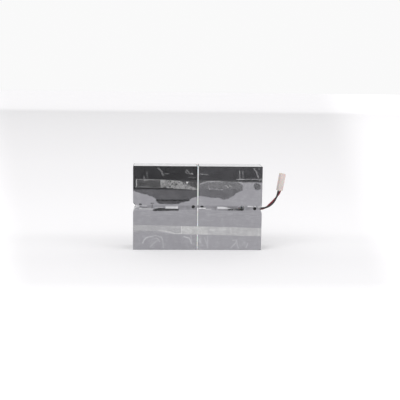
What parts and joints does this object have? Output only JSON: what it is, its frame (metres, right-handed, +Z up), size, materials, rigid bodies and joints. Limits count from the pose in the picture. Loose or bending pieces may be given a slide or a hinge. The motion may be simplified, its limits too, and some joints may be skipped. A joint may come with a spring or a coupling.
{
  "type": "ups battery cartridge",
  "caption": "Sealed battery blocks shrink-wrapped and taped into a flat slab, wired in a middle channel to a plug on short leads, as the energy store of a backup power supply.",
  "frame": {"origin": "middle of the underside of the wrapped pack, without the leads and the connector", "axes": "+X along the pack towards the end where the leads leave, +Y from the front face to the back, +Z up from the edge that the pack stands on"},
  "size_m": [0.3619, 0.0664, 0.2006],
  "materials": {
    "case_plastic": "dark grey moulded plastic, fine satin texture",
    "cover_plastic": "dark grey plastic, smoother than the lid",
    "valve_rubber": "black soft rubber",
    "plate_stack": "dull lead plates with pale separators",
    "strap_lead": "dull cast lead",
    "tinned_terminal": "tin-plated brass",
    "shrink_film": "clear shrink film with milky haze and wrinkles",
    "clear_tape": "clear packing tape with trapped bubbles",
    "white_foam": "white closed-cell foam",
    "boot_vinyl": "black soft vinyl",
    "black_insulation": "black satin wire insulation",
    "red_insulation": "red satin wire insulation",
    "white_sleeve": "white flexible insulating sleeve",
    "connector_nylon": "natural moulded nylon, slightly translucent",
    "lock_nylon": "natural nylon",
    "plated_contact": "silver-plated copper"
  },
  "bodies": {
    "root": {"lower_left_case": "case_plastic", "lower_left_lid": "case_plastic", "lower_left_vent_cover": "cover_plastic", "lower_left_valve_caps": "valve_rubber", "lower_left_plate_stacks": "plate_stack", "lower_left_cell_straps": "strap_lead", "lower_left_terminal_positive": "tinned_terminal", "lower_left_terminal_negative": "tinned_terminal", "lower_right_case": "case_plastic", "lower_right_lid": "case_plastic", "lower_right_vent_cover": "cover_plastic", "lower_right_valve_caps": "valve_rubber", "lower_right_plate_stacks": "plate_stack", "lower_right_cell_straps": "strap_lead", "lower_right_terminal_positive": "tinned_terminal", "lower_right_terminal_negative": "tinned_terminal", "upper_left_case": "case_plastic", "upper_left_lid": "case_plastic", "upper_left_vent_cover": "cover_plastic", "upper_left_valve_caps": "valve_rubber", "upper_left_plate_stacks": "plate_stack", "upper_left_cell_straps": "strap_lead", "upper_left_terminal_positive": "tinned_terminal", "upper_left_terminal_negative": "tinned_terminal", "upper_right_case": "case_plastic", "upper_right_lid": "case_plastic", "upper_right_vent_cover": "cover_plastic", "upper_right_valve_caps": "valve_rubber", "upper_right_plate_stacks": "plate_stack", "upper_right_cell_straps": "strap_lead", "upper_right_terminal_positive": "tinned_terminal", "upper_right_terminal_negative": "tinned_terminal", "film_left": "shrink_film", "film_right": "shrink_film", "tape_lower": "clear_tape", "tape_upper": "clear_tape", "foam_lower": "white_foam", "foam_upper": "white_foam", "channel_pads_left": "white_foam", "channel_pads_right": "white_foam", "receptacles_front": "tinned_terminal", "receptacles_back": "tinned_terminal", "boots_front": "boot_vinyl", "boots_back": "boot_vinyl", "lead_black": "black_insulation", "lead_red": "red_insulation", "jumper_left": "black_insulation", "jumper_middle": "black_insulation", "jumper_right": "black_insulation", "sleeve_left": "white_sleeve", "sleeve_right": "white_sleeve", "connector_housing": "connector_nylon", "connector_lock": "lock_nylon", "contact_red": "plated_contact", "contact_black": "plated_contact"}
  },
  "joints": []
}
